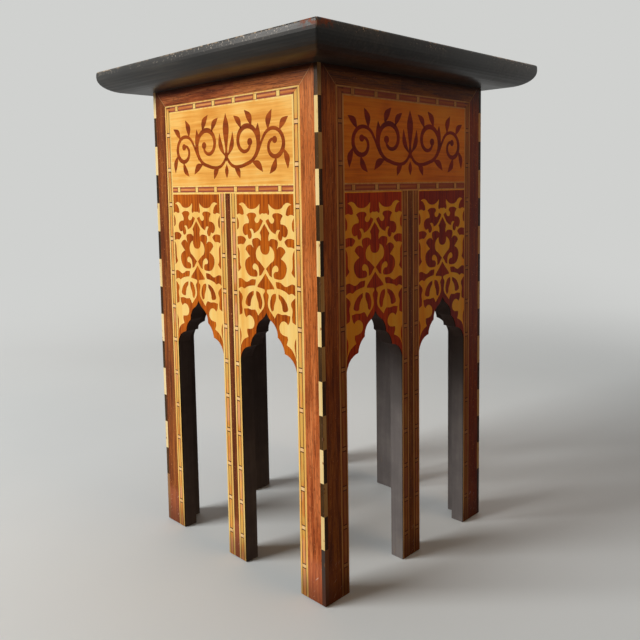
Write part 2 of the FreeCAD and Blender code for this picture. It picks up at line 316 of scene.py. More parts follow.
def banding_finish(name, across, dark_tones, lighter_side, strip_light, rail_light, painted_shade):
    # Crossbanding: upright grain on the stiles, level grain on the rail, split at the mitre.
    # Each stile is its own strip of veneer, one of them lighter than the other. On faces in shade, a painted
    # shade darkens that one downward, and reddens the other.
    graph = Finish(name)
    side = graph.x if across == "x" else graph.y
    depth = graph.x + graph.y
    upright, pores_up = grain(graph, graph.z, side, depth, 1400.0, 240.0)
    level, pores_level = grain(graph, side, graph.z, depth, 1400.0, 300.0)
    from_mitre = (graph.z - FRAME_TOP) - (abs(side) - FRAME_EDGE)
    above = graph.z > FRAME_TOP - 0.0005
    rail = (from_mitre > 0.0) * above
    fibre = upright * (1.0 - rail) + level * rail
    pores = pores_up * (1.0 - rail) + pores_level * rail
    cloud = graph.noise(graph.place, 14.0)
    shade = graph.rise(fibre * 0.76 + cloud * 0.24, 0.32, 0.68)
    darker = graph.ramp(shade, dark_tones)
    lighter = graph.ramp(shade, MAHOGANY_LIGHT)
    strip = (side * lighter_side > LEG_EDGE) * strip_light
    # Painted shade: the lighter stile darkens towards the floor on faces in shade.
    strip = strip * (1.0 - (1.0 - graph.rise(graph.z, 0.05, 0.32)) * painted_shade)
    colour = graph.mix(strip * (1.0 - rail) + rail * rail_light, darker, lighter)
    colour = graph.mix(strip * graph.rise(graph.z, 0.10, 0.32) * 0.3, colour, srgb(212, 128, 46))
    centre = (abs(side) < LEG_EDGE) * (1.0 - rail)
    colour = graph.mix(centre * (0.45 - 0.25 * painted_shade), colour, srgb(84, 36, 18))
    # Painted shade: the far outer stile reddens on faces in shade.
    colour = graph.mix((side > FRAME_EDGE) * (1.0 - rail) * (painted_shade * 0.6), colour, srgb(136, 22, 0))
    pore_mask = graph.rise(pores, 0.5, 0.64) * 0.62
    colour = graph.mix(pore_mask, colour, srgb(58, 24, 10))
    ticks_up = graph.drawn(side * 1000.0, graph.z * 150.0, depth * 9.0)
    ticks_level = graph.drawn(side * 150.0, graph.z * 1000.0, depth * 9.0)
    ticks = graph.rise(ticks_up * (1.0 - rail) + ticks_level * rail, 0.56, 0.66)
    colour = graph.mix(ticks * 0.55, colour, srgb(96, 40, 18))
    mitre_line = graph.rise(0.0006 - abs(from_mitre), 0.0, 0.0004) * above
    colour = graph.mix(mitre_line * 0.8, colour, srgb(222, 172, 112))
    flecks = graph.drawn(side * 500.0, graph.z * 500.0, depth, 2.0, 0.6)
    colour = graph.mix(graph.rise(flecks, 0.64, 0.72) * 0.6, colour, srgb(214, 146, 88))
    foot = graph.rise(KNOCKED_TOP - graph.z, 0.0, 0.010)
    colour = graph.mix(foot * (0.4 * (1.0 - painted_shade)), colour, srgb(188, 108, 80))
    dirt = graph.rise(BANDING_DIRT_TOP - graph.z, 0.0, 0.028) * (0.25 + cloud * 0.7)
    colour = graph.mix(dirt, colour, FOOT_DIRT)
    worn = graph.rise(WORN_TOP - graph.z, 0.0, WORN_TOP) * graph.rise(flecks, 0.40, 0.55)
    colour = graph.mix(worn * 0.5, colour, srgb(120, 66, 40))
    slanting = graph.drawn((side + graph.z) * 60.0, (side - graph.z) * 900.0, depth * 5.0)
    scratch = foot * graph.rise(slanting, 0.69, 0.72)
    colour = graph.mix(scratch * 0.7, colour, srgb(222, 196, 176))
    # Painted shade: a dark band just under the top, where its overhang shades the rail.
    under_top_shade = graph.rise(graph.z, BASE_HEIGHT - 0.0085, BASE_HEIGHT - 0.0005) * (0.6 + cloud * 0.5)
    colour = graph.mix(under_top_shade, colour, srgb(30, 14, 7))
    polish = graph.noise(graph.place, 9.0, 2.0, 0.5)
    roughness = 0.32 + (polish - 0.5) * 0.18 + worn * 0.3
    normal = graph.bump(pores, 0.15, GRAIN_BUMP)
    return graph.done(graph.surface(colour, roughness, Normal=normal, **VENEER_GLOSS))


BOARD_PAINT = (srgb(102, 98, 97), srgb(113, 108, 107), srgb(125, 120, 117))
TOP_PAINT = (srgb(28, 28, 27), srgb(40, 39, 37), srgb(60, 58, 54))
PAINT_MIDDLE = 0.6


def ebonised_finish(name):
    # Old black paint gone grey and dull, with the fibres showing through and scuffs near the floor.
    graph = Finish(name)
    cloud = graph.noise(graph.place, 26.0, 4.0, 0.6)
    fibre = graph.drawn(graph.x * 300.0, graph.y * 300.0, graph.z * 14.0, 3.0, 0.55)
    shade = graph.rise(cloud * 0.7 + fibre * 0.3, 0.3, 0.7)
    colour = graph.ramp(shade, BOARD_PAINT, PAINT_MIDDLE)
    scuffs = graph.drawn(graph.x * 260.0, graph.y * 260.0, graph.z * 90.0, 3.0, 0.6)
    low = graph.rise(SCUFF_TOP - graph.z, 0.0, 0.06) * graph.rise(scuffs, 0.60, 0.68)
    colour = graph.mix(low * 0.5, colour, srgb(136, 118, 100))
    roughness = 0.62 + (cloud - 0.5) * 0.2
    normal = graph.bump(fibre, 0.12, GRAIN_BUMP)
    return graph.done(graph.surface(colour, roughness, Normal=normal, Specular_IOR_Level=0.04))


def top_finish(name):
    # The top: black polish with level grain, pale rubbed specks on the upper arris, and a worn front corner
    # with its joint showing as a pale line, partly wear and partly a painted glint.
    graph = Finish(name)
    cloud = graph.noise(graph.place, 12.0, 4.0, 0.6)
    fibre = graph.drawn(graph.x * 14.0, graph.y * 320.0, graph.z * 320.0, 3.0, 0.55)
    shade = graph.rise(cloud * 0.55 + fibre * 0.45, 0.3, 0.7)
    colour = graph.ramp(shade, TOP_PAINT, PAINT_MIDDLE)
    reach = graph.math("MAXIMUM", abs(graph.x), abs(graph.y))
    arris = graph.rise(graph.z, TABLE_HEIGHT - 0.0024, TABLE_HEIGHT - 0.0006)
    arris = arris * graph.rise(reach, TOP_HALF - 0.003, TOP_HALF - 0.0012)
    specks = graph.noise(graph.place, 240.0, 3.0, 0.6)
    patches = graph.noise(graph.place, 22.0, 2.0, 0.5)
    rubbed = arris * graph.rise(specks, 0.50, 0.60) * graph.rise(patches, 0.36, 0.52)
    colour = graph.mix(rubbed * 0.85, colour, srgb(186, 160, 128))
    dust = graph.noise(graph.place, 620.0, 2.0, 0.5)
    band = graph.rise(graph.z, TABLE_HEIGHT - 0.0095, TABLE_HEIGHT - 0.0005)
    band = band * graph.rise(reach, TOP_HALF - 0.004, TOP_HALF - 0.002)
    dots = band * graph.rise(dust, 0.63, 0.67) * graph.rise(patches, 0.40, 0.55)
    colour = graph.mix(dots * 0.85, colour, srgb(206, 196, 180))
    corner_x = graph.x - TOP_HALF
    corner_y = graph.y + TOP_HALF
    from_corner = corner_x * corner_x + corner_y * corner_y
    near = graph.rise(0.0005 - from_corner, 0.0, 0.0004)
    near = near * graph.rise(graph.z, TABLE_HEIGHT - 0.009, TABLE_HEIGHT - 0.003)
    bare = near * graph.rise(specks * 0.6 + patches * 0.4, 0.40, 0.50)
    colour = graph.mix(bare * 0.9, colour, srgb(132, 66, 36))
    # Worn joint and painted highlight: a pale line down the front corner's mitre, part wear, part glint.
    joint_and_glint = graph.rise(0.0005 - abs(graph.x + graph.y), 0.0, 0.0003)
    joint_and_glint = joint_and_glint * graph.rise(graph.z, TABLE_HEIGHT - 0.009, TABLE_HEIGHT - 0.006)
    joint_and_glint = joint_and_glint * (graph.x > TOP_HALF - 0.012) * graph.rise(specks, 0.36, 0.5)
    colour = graph.mix(joint_and_glint * 0.7, colour, srgb(176, 158, 136))
    scratches = graph.drawn(graph.x * 40.0, graph.y * 900.0, graph.z * 60.0)
    roughness = 0.40 + (cloud - 0.5) * 0.22 + (scratches - 0.5) * 0.14 + bare * 0.3
    normal = graph.bump(fibre * 0.5 + specks * rubbed, 0.14, 0.0005)
    gloss = {"Coat_Weight": 0.05, "Coat_Roughness": 0.2, "Specular_IOR_Level": 0.2}
    return graph.done(graph.surface(colour, roughness, Normal=normal, **gloss))


finishes = {}


def face_veneers(across, outward, tones, strips):
    # Every veneer of one pair of faces; across runs along the face, and outward leaves it.
    def upright(finish, name, streak, pore_depth, **others):
        made = wood(name + "_" + across, "z", across, tones[finish], streak, pore_depth=pore_depth, **others)
        finishes[finish, across] = made

    def level(finish, name, streak, pore_depth, **others):
        made = wood(name + "_" + across, across, "z", tones[finish], streak, pore_depth=pore_depth, **others)
        finishes[finish, across] = made

    banding = banding_finish("mahogany_banding_" + across, across, tones["banding"], **strips)
    finishes["banding", across] = banding
    upright(
        "ground", "mahogany_ground", 380.0, 0.55, fine=1500.0, rough=0.34, far=tones["ground_far_shade"],
        outward=outward,
    )
    level("satin", "satinwood_field", 300.0, 0.16, fine=1500.0, rough=0.30, patch=0.5, draw=0.02)
    upright("inlay", "satinwood_inlay", 60.0, 0.12, rough=0.32, outward=outward)
    level("vine", "mahogany_vine", 90.0, 0.3, rough=0.32)
    upright("line", "boxwood_line", 200.0, 0.1, outward=outward)
    upright("knuckle", "knuckle_box", 240.0, 0.15)
    upright("slip", "string_slip", 240.0, 0.2)
    upright("band", "knuckle_band", 240.0, 0.3, rough=0.34)
    upright("core", "string_core", 220.0, 0.3, rough=0.34, level_tint=CORE_PURPLE)
    upright("reed", "reed_tan", 420.0, 0.2, patch=0.5, drift=tones["reed_drift"])
    level("level_reed", "reed_orange", 240.0, 0.2)
    upright(
        "holly", "chequer_holly", 120.0, 0.1, rough=0.36, stain=srgb(126, 74, 44), chips=srgb(150, 86, 46),
    )
    upright(
        "ebony", "chequer_ebony", 160.0, 0.3, rough=0.28, stain=srgb(70, 62, 58), chips=srgb(112, 84, 60),
    )


# Lit and shaded copies: the front's lighter rail is painted light; the sides' dimmer lighter stile, darker
# rail and downward darkening are painted shade.
face_veneers(
    "x", "y", FRONT_TONES, {"lighter_side": 1.0, "strip_light": 1.0, "rail_light": 0.8, "painted_shade": 0.0},
)
face_veneers(
    "y", "x", SHADED_SIDE_TONES, {"lighter_side": -1.0, "strip_light": 0.55, "rail_light": 0.1, "painted_shade": 0.85},
)
board_black = ebonised_finish("ebonised_board")
top_black = top_finish("ebonised_top")
pine = wood("glue_block_pine", "z", "x", PINE, 50.0, fine=500.0, rough=0.7, pore_depth=0.2)


def add_object(name, data):
    made = bpy.data.objects.new(name, data)
    bpy.context.scene.collection.objects.link(made)
    return made


def mesh_from(made, name):
    # The finished mesh of a bmesh, which is freed.
    bmesh.ops.recalc_face_normals(made, faces=made.faces)
    mesh = bpy.data.meshes.new(name)
    made.to_mesh(mesh)
    made.free()
    return mesh


def new_points(geometry):
    return [item for item in geometry if isinstance(item, bmesh.types.BMVert)]


def dress(node, material):
    mesh = nodes[node].data
    mesh.materials.clear()
    mesh.materials.append(material)


dress("top_board", top_black)
for face, turn, across in FACES:
    dress("side_board_" + face, board_black)
    dress("border_banding_" + face, finishes["banding", across])
    dress("string_lines_" + face, finishes["line", across])
    dress("string_cores_" + face, finishes["core", across])
    dress("frieze_panel_" + face, finishes["satin", across])
    dress("chequer_light_" + face, finishes["holly", across])
    dress("chequer_dark_" + face, finishes["ebony", across])
    dress("corner_block_" + face, pine)
    dress("top_cleat_" + face, pine)


# Flat pieces: closed outlines filled and given a thickness, laid on the front face
CURVE_STEPS = 5
WELD = 0.000002


def outline_mesh(name, outlines, low, high):
    # Each outline is a list of (across, up, corner) in metres; corners stay sharp, other points are smooth.
    curve = bpy.data.curves.new(name, "CURVE")
    curve.dimensions = "2D"
    curve.fill_mode = "BOTH"
    curve.resolution_u = CURVE_STEPS
    curve.extrude = (high - low) / 2
    for outline in outlines:
        spline = curve.splines.new("BEZIER")
        spline.bezier_points.add(len(outline) - 1)
        spline.use_cyclic_u = True
        for point, (across, up, corner) in zip(spline.bezier_points, outline):
            point.co = (across, up, 0.0)
            kind = "VECTOR" if corner else "AUTO"
            point.handle_left_type = kind
            point.handle_right_type = kind
    holder = add_object(name, curve)
    bpy.context.view_layer.update()
    mesh = bpy.data.meshes.new_from_object(holder.evaluated_get(bpy.context.evaluated_depsgraph_get()))
    bpy.data.objects.remove(holder)
    bpy.data.curves.remove(curve)
    middle = (high + low) / 2
    upright = Matrix(((1, 0, 0, 0), (0, 0, -1, -middle), (0, 1, 0, 0), (0, 0, 0, 1)))
    mesh.transform(upright)
    return mesh


def joined(name, meshes):
    made = bmesh.new()
    for mesh in meshes:
        made.from_mesh(mesh)
        bpy.data.meshes.remove(mesh)
    bmesh.ops.remove_doubles(made, verts=made.verts, dist=WELD)
    return mesh_from(made, name)


def mitre(side, keep):
    # The plane through the stringing's upper corner on that side, facing away from what is kept.
    rise = FRAME_TOP - FIELD_TOP
    run = FRAME_EDGE - FIELD_EDGE
    turn = 1.0 if keep == "upright" else -1.0
    return (side * FRAME_EDGE, 0.0, FRAME_TOP), (-side * rise * turn, 0.0, run * turn)


def bars_mesh(name, bars, low, high, rounding=0.0):
    # Each bar is (left, right, foot, head, mitres) on the face; rounding softens its four corners.
    made = bmesh.new()
    for left, right, foot, head, mitres in bars:
        cube = bmesh.ops.create_cube(made, size=1.0)["verts"]
        bmesh.ops.scale(made, verts=cube, vec=(right - left, high - low, head - foot))
        centre = ((left + right) / 2, -(low + high) / 2, (foot + head) / 2)
        bmesh.ops.translate(made, verts=cube, vec=centre)
        for place, normal in mitres:
            edges = {edge for vert in cube for edge in vert.link_edges}
            faces = {face for vert in cube for face in vert.link_faces}
            cut = bmesh.ops.bisect_plane(
                made, geom=[*cube, *edges, *faces], plane_co=place, plane_no=normal, clear_outer=True,
            )["geom_cut"]
            rim = [item for item in cut if isinstance(item, bmesh.types.BMEdge)]
            cap = bmesh.ops.contextual_create(made, geom=rim)["faces"]
            cube = [vert for vert in cube if vert.is_valid] + list(cap[0].verts)
    if rounding:
        deep = []
        for edge in made.edges:
            near, far = edge.verts
            if abs(near.co.y - far.co.y) > (high - low) / 2:
                deep.append(edge)
        bmesh.ops.bevel(
            made, geom=deep, offset=rounding, segments=2, profile=0.5, affect="EDGES", material=-1,
        )
    return mesh_from(made, name)


def lay_round(name, mesh, finish, replaced=None):
    # Puts the front face's piece on all four faces.
    for face, turn, across in FACES:
        copy = mesh.copy()
        copy.transform(Matrix.Rotation(math.radians(turn), 4, "Z"))
        copy.materials.clear()
        copy.materials.append(finishes[finish, across])
        piece = add_object(name + "_" + face, copy)
        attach(piece, "root")
        if replaced:
            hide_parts(replaced + "_" + face)
    bpy.data.meshes.remove(mesh)


# Arch outline over one bay, as the boards have it: each corner's share of the half bay and of the rise,
# and the radius of the arc that leaves it, as a share of the half bay
ARCH = ((1.0, 0.0, 0.445), (0.61, 0.288, 0.46), (0.382, 0.565, 0.36), (0.205, 0.832, -0.46))
ARC_STEPS = 6


def arc(start, finish, radius):
    # Points of an arc from start to finish, without the last; a minus radius bends the other way.
    begin = Vector(start)
    chord = Vector(finish) - begin
    normal = Vector((chord.y, -chord.x)).normalized()
    half = chord.length / 2
    sagitta = abs(radius) - math.sqrt(radius * radius - half * half)
    sagitta = math.copysign(sagitta, radius)
    points = []
    for step in range(ARC_STEPS):
        share = step / ARC_STEPS
        swell = sagitta * (1.0 - (2.0 * share - 1.0) ** 2)
        points.append(begin + chord * share + normal * swell)
    return points


def arch_half():
    # From the springing to the point, to the right of the axis.
    corners = []
    for share, rise, radius in ARCH:
        corners.append((share * BAY_HALF, ARCH_SPRING + rise * ARCH_RISE, radius * BAY_HALF))
    corners.append((0.0, ARCH_SPRING + ARCH_RISE, 0.0))
    points = []
    for here, there in zip(corners, corners[1:]):
        points += arc(here[:2], there[:2], here[2])
    return points


# Arabesque: the mahogany grounds that show between the satinwood leaves, traced on one half bay.
# Millimetres from the bay's axis and above the springing, for a bay 40.5 to each side and 168 high.
# The third value is C at a sharp corner and S where the outline runs on smoothly.
CARTOON_HALF = 40.5
CARTOON_HEIGHT = 168.0
CARTOON_EDGE = 40.2
C = True
S = False
CROWN_GROUND = [
    (0.0, 148.4, C), (3.6, 148.9, S), (6.0, 147.6, S), (7.0, 149.8, S), (6.2, 153.5, S),
    (6.1, 158.3, C), (11.6, 154.2, S), (19.2, 152.9, S), (23.9, 154.2, S), (27.9, 157.8, S),
    (32.5, 159.2, S), (37.5, 157.3, C), (33.9, 155.8, S), (31.1, 152.3, S), (29.8, 147.9, C),
    (32.0, 147.0, S), (36.2, 148.2, S), (40.2, 147.0, C), (40.2, 167.2, C), (0.0, 167.2, C),
]
COMMA_GROUND = [
    (25.4, 146.8, C), (22.7, 148.3, S), (17.2, 149.0, S), (12.4, 147.8, S), (11.7, 146.2, S),
    (13.9, 143.4, S), (13.7, 140.8, S), (10.6, 139.0, S), (7.2, 141.0, S), (5.9, 143.4, C),
    (2.3, 141.8, C), (2.9, 140.3, S), (5.2, 136.9, S), (8.5, 132.9, S), (12.7, 130.3, S),
    (15.2, 129.4, C), (16.0, 131.8, S), (18.4, 133.7, S), (21.8, 133.1, C), (19.7, 130.2, S),
    (18.8, 126.9, S), (20.0, 124.2, S), (22.2, 123.4, S), (23.8, 124.9, S), (24.6, 127.8, C),
    (28.2, 126.9, S), (30.8, 129.0, S), (31.7, 132.7, S), (30.0, 136.4, S), (26.8, 138.1, S),
    (22.7, 138.6, C), (22.0, 140.6, S), (23.2, 144.0, S),
]
HEART_GROUND = [
    (0.0, 138.6, C), (3.3, 134.2, S), (6.6, 129.9, C), (5.2, 126.8, S), (5.1, 124.0, S),
    (5.5, 121.7, C), (8.9, 124.0, S), (13.3, 124.2, S), (17.3, 123.2, C), (18.0, 120.9, S),
    (16.4, 114.5, C), (19.7, 117.0, S), (23.4, 117.1, S), (27.2, 114.9, C), (28.1, 112.7, C),
    (24.5, 109.0, S), (21.5, 106.0, C), (25.0, 104.2, S), (28.4, 101.1, S), (29.2, 95.6, S),
    (27.2, 90.6, S), (23.4, 87.2, S), (18.4, 86.3, S), (12.8, 86.7, C), (11.7, 89.0, S),
    (12.6, 91.8, S), (14.8, 93.1, S), (17.0, 93.2, S), (18.6, 95.3, S), (17.9, 97.8, S),
    (15.6, 99.5, S), (12.6, 98.8, S), (9.9, 96.3, S), (8.8, 91.8, S), (8.9, 87.7, C),
    (6.2, 88.7, C), (2.3, 93.8, S), (1.0, 95.0, C), (5.0, 98.4, S), (8.4, 101.2, S),
    (11.7, 103.4, S), (13.4, 108.2, S), (12.6, 112.6, S), (9.7, 116.2, S), (6.6, 117.7, C),
    (5.9, 112.9, S), (3.4, 109.8, S), (0.0, 108.8, C),
]
POCKET_GROUND = [
    (40.2, 125.0, C), (34.5, 125.5, S), (29.5, 124.2, S), (27.4, 122.4, C), (29.4, 119.6, S),
    (31.9, 117.6, C), (35.6, 117.9, S), (40.2, 116.7, C),
]
UPPER_SLIVER = [
    (40.2, 145.0, C), (38.1, 140.7, S), (37.8, 136.8, S), (38.6, 133.4, S), (40.2, 132.0, C),
]
MIDDLE_SLIVER = [
    (40.2, 115.2, C), (38.2, 110.7, S), (37.8, 102.9, S), (37.5, 97.4, S), (35.8, 93.9, C),
    (38.4, 91.2, S), (40.2, 89.5, C),
]
RIBBON_GROUND = [
    (40.2, 82.4, C), (36.7, 82.9, S), (32.8, 81.6, S), (28.4, 79.8, S), (24.4, 80.9, S),
    (20.9, 82.9, S), (14.4, 83.4, C), (15.2, 79.0, S), (16.0, 77.6, C), (21.1, 77.0, S),
    (28.3, 75.1, S), (31.9, 73.2, S), (34.5, 74.3, S), (37.3, 74.1, S), (40.2, 72.4, C),
]
OUTER_CRESCENT = [
    (17.8, 71.8, C), (22.2, 70.1, S), (26.7, 66.4, S), (29.4, 61.8, S), (30.0, 57.9, S),
    (26.7, 55.9, C), (23.7, 56.3, S), (22.6, 60.7, S), (21.1, 64.6, S), (18.1, 68.2, C),
]
INNER_CRESCENT = [
    (13.6, 72.0, C), (9.7, 70.7, S), (6.7, 65.7, S), (5.9, 59.6, S), (7.7, 54.6, C),
    (9.7, 55.4, S), (11.1, 60.7, S), (13.3, 65.7, S), (14.1, 69.6, S),
]
LOWER_SLIVER = [
    (40.2, 70.5, C), (38.4, 69.0, C), (34.8, 64.6, S), (36.5, 58.4, S), (35.7, 51.8, S),
    (36.1, 47.2, C), (40.2, 45.2, C),
]
FOOT_SLIVER = [
    (40.2, 32.5, C), (38.4, 26.8, S), (39.2, 18.0, S), (40.2, 13.0, C),
]
ARCH_GROUND = [
    (0.0, 90.6, C), (5.0, 85.1, S), (9.4, 80.7, S), (12.0, 77.2, S), (11.8, 76.0, C),
    (6.1, 75.4, S), (1.9, 74.7, C), (1.6, 72.8, S), (3.9, 69.5, S), (3.1, 64.6, S),
    (2.6, 60.7, S), (3.7, 56.8, S), (6.7, 53.4, S), (11.9, 48.0, C), (14.0, 51.6, S),
    (15.9, 53.6, C), (19.0, 53.2, S), (21.9, 52.8, C), (26.7, 53.6, C), (33.3, 52.6, C),
    (31.9, 46.2, S), (29.8, 43.6, C), (27.4, 45.7, S), (23.3, 46.3, S), (19.2, 43.4, S),
    (18.0, 39.0, S), (20.3, 34.6, S), (24.4, 33.1, S), (28.9, 32.7, C), (29.4, 29.6, S),
    (27.5, 24.5, C), (33.9, 21.2, S), (36.7, 18.4, S), (39.5, 13.9, C), (40.2, 10.7, C),
]
SIDE_GROUNDS = (
    COMMA_GROUND, POCKET_GROUND, UPPER_SLIVER, MIDDLE_SLIVER, RIBBON_GROUND, OUTER_CRESCENT, INNER_CRESCENT,
    LOWER_SLIVER, FOOT_SLIVER,
)
WIDE = BAY_HALF / CARTOON_HALF
TALL = (RAIL_BOTTOM - ARCH_SPRING) / CARTOON_HEIGHT
EASE = 0.22
FOLDED = 0.01


def eased(points):
    # Opens a ground a little on every side but the bay's own edges, so that the leaves between stay slim.
    area = sum(a[0] * b[1] - b[0] * a[1] for a, b in zip(points, points[1:] + points[:1]))
    turn = math.copysign(EASE, area)
    grown = []
    for index, (across, up, corner) in enumerate(points):
        if across in (0.0, CARTOON_EDGE):
            grown.append((across, up, corner))
            continue
        before = Vector(points[index - 1][:2])
        after = Vector(points[(index + 1) % len(points)][:2])
        here = Vector((across, up))
        run = (after - here).normalized() + (here - before).normalized()
        normal = Vector((run.y, -run.x)).normalized() if run.length > FOLDED else Vector((0.0, 0.0))
        grown.append((max(across + normal.x * turn, 0.0), up + normal.y * turn, corner))
    return grown


def on_face(points, bay, side):
    # Cartoon points to metres on the face, in the bay on that side, flipped for its other half.
    centre = bay * BAY_AXIS
    return [(centre + side * a * WIDE, ARCH_SPRING + h * TALL, corner) for a, h, corner in points]


def arch_edge(bay, side):
    points = []
    for point in arch_half():
        points.append((bay * BAY_AXIS + side * point.x, point.y, True))
    points.append((bay * BAY_AXIS, ARCH_SPRING + ARCH_RISE, True))
    return points


def whole(right_half, left_half):
    # Two halves that start and end on the axis, as one outline.
    return right_half + left_half[::-1][1:-1]


# How far the darker veneers stand above the face and reach into it
RAISED = 0.00012
SUNK = 0.0006
sheet_outlines = []
ground_outlines = []
for bay in (-1, 1):
    rim = arch_edge(bay, 1) + arch_edge(bay, -1)[::-1][1:]
    head = [(bay * BAY_AXIS - BAY_HALF, RAIL_BOTTOM, True), (bay * BAY_AXIS + BAY_HALF, RAIL_BOTTOM, True)]
    sheet_outlines.append(rim + head)
    for ground in SIDE_GROUNDS:
        for side in (-1, 1):
            ground_outlines.append(on_face(eased(ground), bay, side))
    for ground in (CROWN_GROUND, HEART_GROUND):
        ground_outlines.append(whole(on_face(eased(ground), bay, 1), on_face(eased(ground), bay, -1)))
    arch_right = on_face(eased(ARCH_GROUND), bay, 1) + arch_edge(bay, 1)
    arch_left = on_face(eased(ARCH_GROUND), bay, -1) + arch_edge(bay, -1)
    ground_outlines.append(whole(arch_right, arch_left))
lay_round(
    "arabesque_sheet",
    joined("arabesque_sheet", [outline_mesh("sheet", sheet_outlines, CORE_FACE, FACE)]),
    "inlay",
    "spandrel_arabesque",
)
lay_round(
    "spandrel_mahogany",
    joined(
        "spandrel_mahogany",
        [outline_mesh("ground", [outline], FACE - SUNK, FACE + RAISED) for outline in ground_outlines],
    ),
    "ground",
    "spandrel_ground",
)

# Stringing: pale side slips, a reed down the middle and knuckles across it
REED_TOP = FACE + 0.00014
KNUCKLE_TOP = FACE + 0.0002
REED_FOOT = FACE - 0.0004
STRING_HALF = 0.0037
SLIP = 0.0009
REED_HALF = 0.0019
LEVEL_REED_HALF = 0.0011
# Half sizes along the face and up it of the knuckles, and the dark bands at both ends of each
KNUCKLE_HALF = (0.0024, 0.0016)
KNUCKLE_BAND = 0.0010
KNUCKLE_BAND_HALF = 0.0026
LEVEL_KNUCKLE_HALF = (0.0022, 0.0025)
LEVEL_BAND = 0.0007
LEVEL_BAND_HALF = 0.0023
KNUCKLE_ROUNDING = 0.0005
LEVEL_ROUNDING = 0.0004
BAND_ROUNDING = 0.0002
frame_middle = (FRAME_EDGE + FIELD_EDGE) / 2
leg_middle = (LEG_EDGE + STRIP_EDGE) / 2
top_middle = (FRAME_TOP + FIELD_TOP) / 2
rail_middle = (RAIL_BOTTOM + FRIEZE_BOTTOM) / 2
# Heights of the upright knuckles, and places of the level ones along the face
FRAME_KNUCKLES = [0.4475 - 0.0379 * step for step in range(12)]
LEG_KNUCKLES = [0.357 - 0.0366 * step for step in range(10)]
LEVEL_KNUCKLES = [-0.085 + 0.0328 * step for step in range(6)]
slips = []
upright_reeds = []
level_reeds = []
pale_knuckles = []
tan_knuckles = []
dark_knuckles = []
for side in (-1, 1):
    for middle, head, stations, ends in (
        (side * frame_middle, FRAME_TOP, FRAME_KNUCKLES, (mitre(side, "upright"),)),
        (side * leg_middle, RAIL_BOTTOM, LEG_KNUCKLES, ()),
    ):
        left = middle - STRING_HALF
        right = middle + STRING_HALF
        slips.append((left, left + SLIP, FOOT, head, ends))
        slips.append((right - SLIP, right, FOOT, head, ends))
        upright_reeds.append((middle - REED_HALF, middle + REED_HALF, FOOT, head, ends))
        for station in stations:
            wide, tall = KNUCKLE_HALF
            tan_knuckles.append((middle - wide, middle + wide, station - tall, station + tall, ()))
            wide = KNUCKLE_BAND_HALF
            for low in (station - tall - KNUCKLE_BAND, station + tall):
                dark_knuckles.append((middle - wide, middle + wide, low, low + KNUCKLE_BAND, ()))
both_ends = (mitre(-1, "level"), mitre(1, "level"))
for middle, reach, ends in ((top_middle, FRAME_EDGE, both_ends), (rail_middle, FIELD_EDGE, ())):
    level_reeds.append((-reach, reach, middle - LEVEL_REED_HALF, middle + LEVEL_REED_HALF, ends))
    for station in LEVEL_KNUCKLES:
        wide, tall = LEVEL_KNUCKLE_HALF
        pale_knuckles.append((station - wide, station + wide, middle - tall, middle + tall, ()))
        tall = LEVEL_BAND_HALF
        for left in (station - wide - LEVEL_BAND, station + wide):
            dark_knuckles.append((left, left + LEVEL_BAND, middle - tall, middle + tall, ()))
slip_mesh = bars_mesh("slips", slips, REED_FOOT, REED_TOP)
reed_mesh = bars_mesh("reeds", upright_reeds, REED_FOOT, REED_TOP)
level_mesh = bars_mesh("level", level_reeds, REED_FOOT, REED_TOP)
tan_mesh = bars_mesh("knuckles", tan_knuckles, REED_FOOT, KNUCKLE_TOP, KNUCKLE_ROUNDING)
pale_mesh = bars_mesh("level_knuckles", pale_knuckles, REED_FOOT, KNUCKLE_TOP, LEVEL_ROUNDING)
band_mesh = bars_mesh("bands", dark_knuckles, REED_FOOT, KNUCKLE_TOP, BAND_ROUNDING)
lay_round("string_slips", slip_mesh, "slip")
lay_round("string_reeds", reed_mesh, "reed")
lay_round("string_level_reeds", level_mesh, "level_reed")
lay_round("string_knuckles", tan_mesh, "knuckle")
lay_round("string_level_knuckles", pale_mesh, "line")
lay_round("string_knuckle_bands", band_mesh, "band")


# Frieze: a symmetrical scrolling vine
def ribbon(path, start_width, middle_width, end_width):
    # A stroke along a path, swelling in the middle, as a closed outline.
    count = len(path)
    left = []
    right = []
    for index, point in enumerate(path):
        before = Vector(path[max(index - 1, 0)])
        after = Vector(path[min(index + 1, count - 1)])
        direction = (after - before).normalized()
        normal = Vector((-direction.y, direction.x))
        share = index / (count - 1)
        if share < 0.5:
            width = start_width + (middle_width - start_width) * share * 2.0
        else:
            width = middle_width + (end_width - middle_width) * (share - 0.5) * 2.0
        left.append((Vector(point) + normal * width / 2, index in (0, count - 1)))
        right.append((Vector(point) - normal * width / 2, index in (0, count - 1)))
    return [(p.x, p.y, c) for p, c in left] + [(p.x, p.y, c) for p, c in reversed(right)]


SPIRAL_STEPS = 26
BEAD_POINTS = 8


def spiral(centre, radius, inner, begin, turns):
    points = []
    for step in range(SPIRAL_STEPS + 1):
        share = step / SPIRAL_STEPS
        angle = begin + turns * 2.0 * math.pi * share
        reach = radius + (inner - radius) * share
        points.append((centre[0] + reach * math.cos(angle), centre[1] + reach * math.sin(angle)))
    return points


def leaf(base, tip, width, bend):
    # A pointed leaf from base to tip that bends to one side.
    start = Vector(base)
    axis = Vector(tip) - start
    normal = Vector((-axis.y, axis.x)).normalized()
    upper = []
    lower = []
    for share, half in ((0.2, 0.24), (0.4, 0.44), (0.6, 0.46), (0.8, 0.27)):
        middle = start + axis * share + normal * bend * math.sin(math.pi * share)
        upper.append((*(middle + normal * half * width), False))
        lower.append((*(middle - normal * half * width), False))
    return [(*base, True)] + upper + [(*tip, True)] + lower[::-1]


def bead(centre, radius):
    points = []
    for step in range(BEAD_POINTS):
        angle = math.radians(360.0 / BEAD_POINTS * step)
        points.append((centre[0] + radius * math.cos(angle), centre[1] + radius * math.sin(angle), False))
    return points


